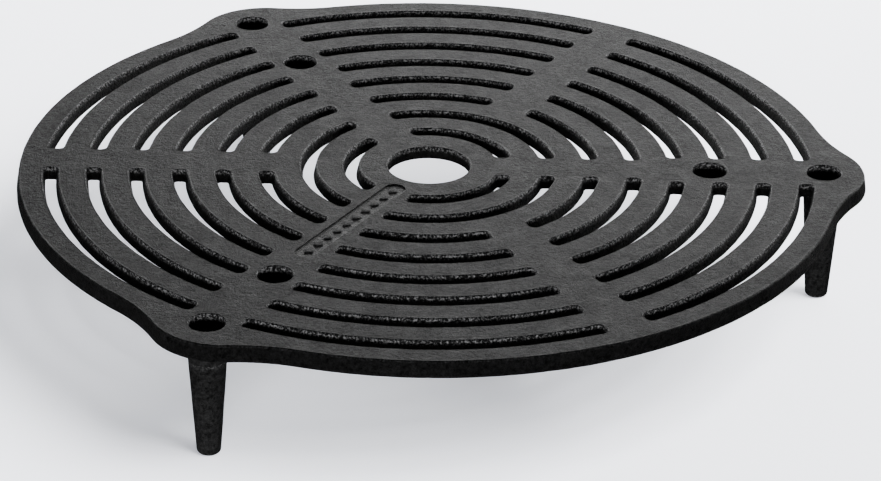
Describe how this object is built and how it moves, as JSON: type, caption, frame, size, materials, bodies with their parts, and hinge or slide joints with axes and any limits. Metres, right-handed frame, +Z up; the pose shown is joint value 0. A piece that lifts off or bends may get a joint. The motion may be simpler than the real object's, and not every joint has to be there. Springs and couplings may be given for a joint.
{
  "type": "stacking grill grate",
  "caption": "Low round cast-iron grate with rings of slots, lobes over tapered screw-in legs, and round recesses for stacking another grate.",
  "frame": {"origin": "on the plate's axis at floor level, midway between the three feet", "axes": "+Z up through the centre hole, +X out through the right lobe, +Y towards the back"},
  "size_m": [0.3438, 0.3328, 0.0554],
  "materials": {
    "black_iron": "sand-cast, oil-seasoned, satin black",
    "stud_steel": "plain turned steel"
  },
  "bodies": {
    "root": {"grate_plate": "black_iron", "leg_right": "black_iron", "leg_back_left": "black_iron", "leg_front_left": "black_iron", "stud_right": "stud_steel", "stud_back_left": "stud_steel", "stud_front_left": "stud_steel"}
  },
  "joints": []
}
